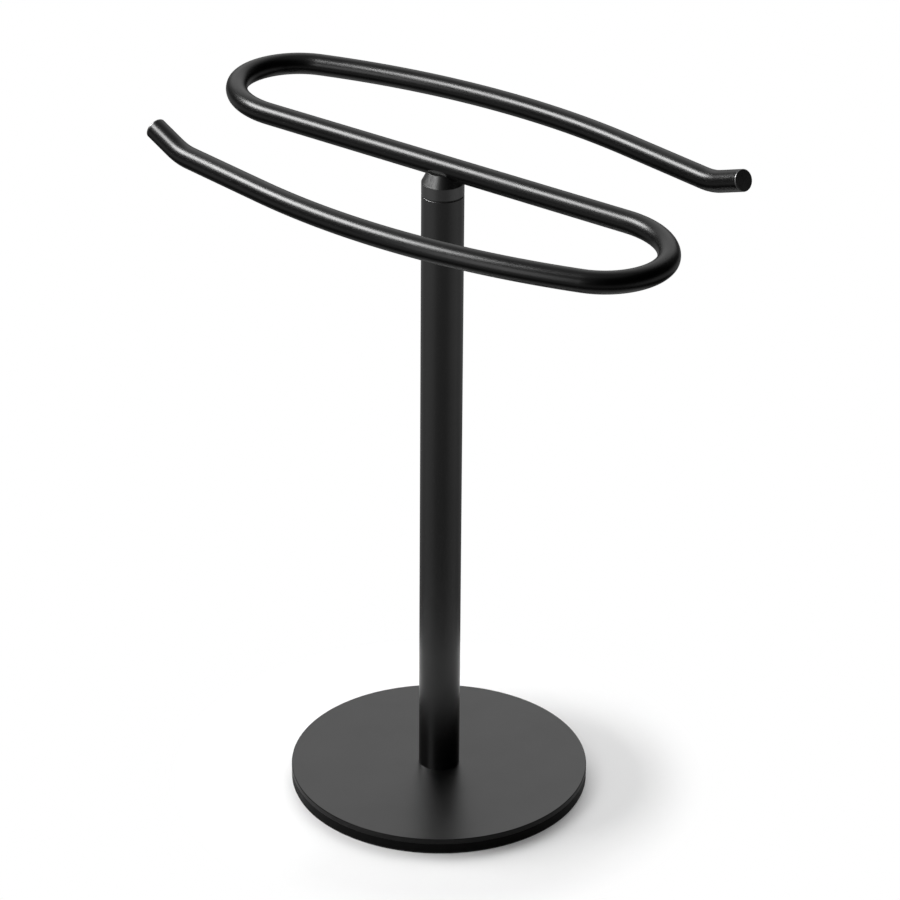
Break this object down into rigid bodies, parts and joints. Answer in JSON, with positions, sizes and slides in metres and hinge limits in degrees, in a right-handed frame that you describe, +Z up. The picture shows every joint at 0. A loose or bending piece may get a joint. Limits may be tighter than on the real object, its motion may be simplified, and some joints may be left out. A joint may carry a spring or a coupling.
{
  "type": "freestanding towel stand",
  "caption": "Countertop hand towel stand: an S-shaped tube rail with raised ends turns on a straight round post above a weighted two-layer disc base.",
  "frame": {"origin": "on the floor, at the centre of the base's underside and on the post's axis", "axes": "+Z up along the post; X along the rail's straight centre bar; +Y towards the arm that is 6 mm the longer, which apart from that matches the other arm turned half a turn about Z"},
  "size_m": [0.3702, 0.2126, 0.4233],
  "materials": {
    "tube_black_powder": "satin black powder coat",
    "cap_black_satin": "satin black paint on a turned cap",
    "plate_black_powder": "matte black powder coat",
    "weight_black_paint": "dull black paint",
    "plug_black_plastic": "moulded, fine grain",
    "bush_nylon": "black nylon",
    "pad_foam_rubber": "dull sheet rubber",
    "plain_steel": "zinc plated"
  },
  "bodies": {
    "stand": {"base_pad": "pad_foam_rubber", "base_weight": "weight_black_paint", "weight_screws": "plain_steel", "base_plate": "plate_black_powder", "foot_bolt": "plain_steel", "foot_spring_washer": "plain_steel", "foot_flat_washer": "plain_steel", "foot_plug": "plain_steel", "post_tube": "tube_black_powder", "swivel_housing": "plain_steel", "swivel_bush": "bush_nylon"},
    "head": {"head_spindle": "plain_steel", "spindle_thrust_washer": "plain_steel", "spindle_disc_spring": "plain_steel", "spindle_circlip": "plain_steel", "head_cap": "cap_black_satin", "rail_screw": "plain_steel", "rail_lock_washer": "plain_steel", "rail_nut_block": "plain_steel", "towel_rail": "tube_black_powder", "rail_end_plug_near": "plug_black_plastic", "rail_end_plug_far": "plug_black_plastic"}
  },
  "joints": [
    {"name": "head_swivel", "type": "hinge", "parent": "stand", "child": "head", "pos_m": [0, 0, 0.391], "axis": [0, 0, 1], "continuous": true}
  ]
}
